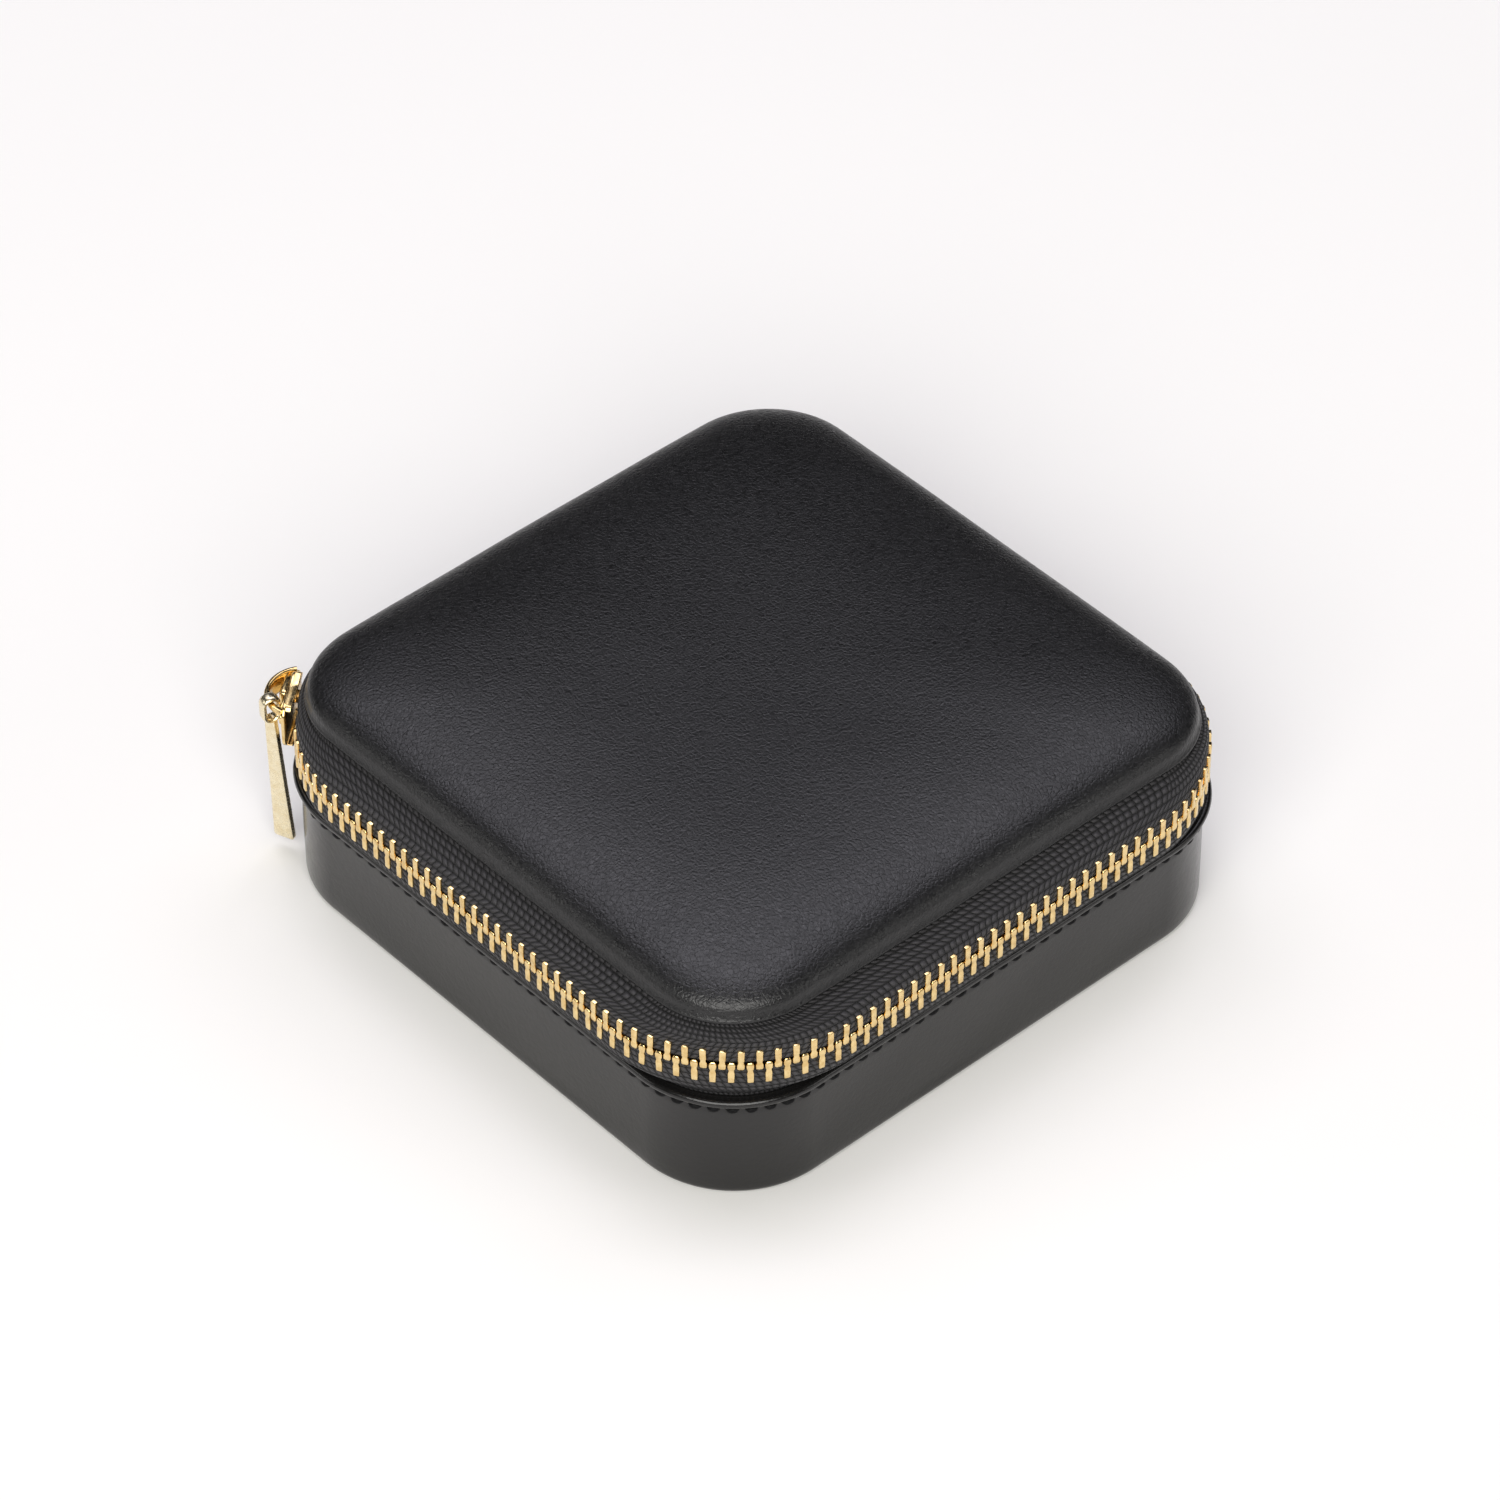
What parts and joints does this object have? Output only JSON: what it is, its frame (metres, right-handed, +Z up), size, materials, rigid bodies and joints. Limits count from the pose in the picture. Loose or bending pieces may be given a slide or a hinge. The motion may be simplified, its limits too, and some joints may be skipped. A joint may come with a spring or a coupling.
{
  "type": "jewellery case",
  "caption": "Square zipped leather jewellery case with rounded corners: padded domed lid, stiff stitched tray, metal zip with a hanging pull, leather spine and lined interior.",
  "frame": {"origin": "centre of the underside, on the surface that the case stands on", "axes": "+Z up, -Y towards the front, where the case opens, +Y towards the leather spine that the lid turns on"},
  "size_m": [0.1116, 0.1113, 0.0412],
  "materials": {
    "lid_leather": "satin",
    "wall_leather": "satin",
    "zip_tape": "matte",
    "thread": "satin",
    "brass": "polished",
    "pull_metal": "polished",
    "board": "matte",
    "foam": "matte",
    "lining": "matte",
    "elastic": "matte"
  },
  "bodies": {
    "base": {"base_board": "board", "base_bottom_panel": "wall_leather", "base_collar": "board", "base_lining": "lining", "base_rim": "wall_leather", "base_stitching": "thread", "base_wall_leather": "wall_leather", "divider_cross": "lining", "divider_long": "lining", "hinge_spine_lower": "wall_leather", "ring_roll_1": "lining", "ring_roll_2": "lining", "ring_roll_3": "lining", "ring_roll_4": "lining", "ring_roll_5": "lining", "ring_roll_6": "lining", "zip_bottom_stop": "brass", "zip_top_stop": "brass", "zip_tape_lower": "zip_tape", "zip_teeth_lower": "brass"},
    "lid": {"hinge_spine_upper": "wall_leather", "lid_board": "board", "lid_card": "board", "lid_collar": "board", "lid_foam": "foam", "lid_leather": "lid_leather", "lid_lining": "lining", "lid_padding": "foam", "lid_pocket": "lining", "lid_stitching": "thread", "pocket_elastic": "elastic", "zip_tape_upper": "zip_tape", "zip_teeth_upper": "brass"},
    "slider": {"slider_body": "brass", "slider_bridge": "brass"},
    "pull": {"zip_pull": "pull_metal"}
  },
  "joints": [
    {"name": "lid_hinge", "type": "hinge", "parent": "base", "child": "lid", "pos_m": [0, 0.0552, 0.0265], "axis": [-1, 0, 0], "range_deg": [0, 105]},
    {"name": "slider_travel", "type": "hinge", "parent": "base", "child": "slider", "pos_m": [-0.0297, 0.0297, 0.0265], "axis": [0, 0, 1], "range_deg": [0, 45], "deforming": ["zip_teeth_lower", "zip_teeth_upper"]},
    {"name": "pull_lift", "type": "hinge", "parent": "slider", "child": "pull", "pos_m": [-0.04967, 0.05122, 0.0296], "axis": [0.2756, 0.9613, 0], "range_deg": [0, 110]}
  ]
}
